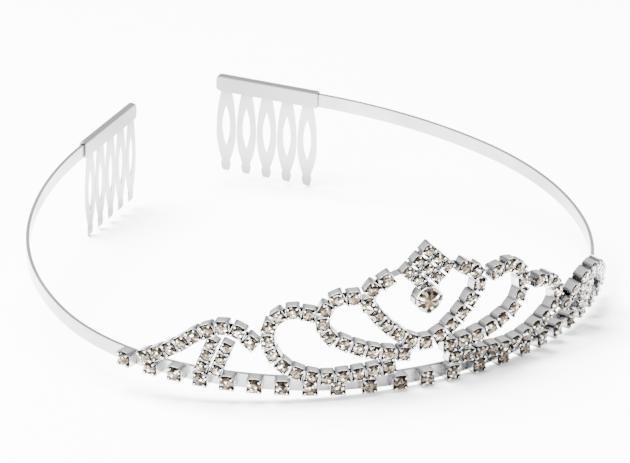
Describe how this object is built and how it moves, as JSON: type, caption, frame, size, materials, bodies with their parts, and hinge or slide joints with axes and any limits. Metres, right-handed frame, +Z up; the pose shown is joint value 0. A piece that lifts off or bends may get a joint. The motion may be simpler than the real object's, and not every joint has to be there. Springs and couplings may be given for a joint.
{
  "type": "diadem",
  "caption": "Open headband diadem with a comb at each end, a row of set stones on the strip, looped strings of stones, a heart, a crest and a round drop.",
  "frame": {"origin": "middle of the bounding box's footprint, on the table the diadem stands on", "axes": "+Z up from the table, -Y to the front with the heart and crest, +Y to the two combs at the back, X from side to side"},
  "size_m": [0.125, 0.158, 0.0325],
  "materials": {
    "band_metal": "bright silver plating on the strip and its cups",
    "comb_metal": "satin silver plating on stamped and folded sheet",
    "setting_metal": "bright silver plating on small pressed cups",
    "crystal": "clear cut glass with a faint smoky tint over foil",
    "drop_crystal": "clear cut glass with a faint smoky tint over foil"
  },
  "bodies": {
    "root": {"headband": "band_metal", "left_comb": "comb_metal", "right_comb": "comb_metal", "heart": "setting_metal", "crest": "setting_metal", "drop_cup": "setting_metal", "left_inner_loop": "setting_metal", "right_inner_loop": "setting_metal", "left_outer_loop": "setting_metal", "right_outer_loop": "setting_metal", "left_arch": "setting_metal", "right_arch": "setting_metal", "left_short_rows": "setting_metal", "right_short_rows": "setting_metal", "heart_stones": "crystal", "left_inner_stones": "crystal", "right_inner_stones": "crystal", "left_outer_stones": "crystal", "right_outer_stones": "crystal", "left_arch_stones": "crystal", "right_arch_stones": "crystal", "left_row_stones": "crystal", "right_row_stones": "crystal", "drop_stone": "drop_crystal", "crest_stone_1": "crystal", "crest_stone_2": "crystal", "crest_stone_3": "crystal", "crest_stone_4": "crystal", "crest_stone_5": "crystal", "crest_stone_6": "crystal", "crest_stone_7": "crystal", "crest_stone_8": "crystal", "base_stone_1": "crystal", "base_stone_2": "crystal", "base_stone_3": "crystal", "base_stone_4": "crystal", "base_stone_5": "crystal", "base_stone_6": "crystal", "base_stone_7": "crystal", "base_stone_8": "crystal", "base_stone_9": "crystal", "base_stone_10": "crystal", "base_stone_11": "crystal", "base_stone_12": "crystal", "base_stone_13": "crystal", "base_stone_14": "crystal", "base_stone_15": "crystal", "base_stone_16": "crystal", "base_stone_17": "crystal", "base_stone_18": "crystal", "base_stone_19": "crystal", "base_stone_20": "crystal", "base_stone_21": "crystal", "base_stone_22": "crystal", "base_stone_23": "crystal"}
  },
  "joints": []
}
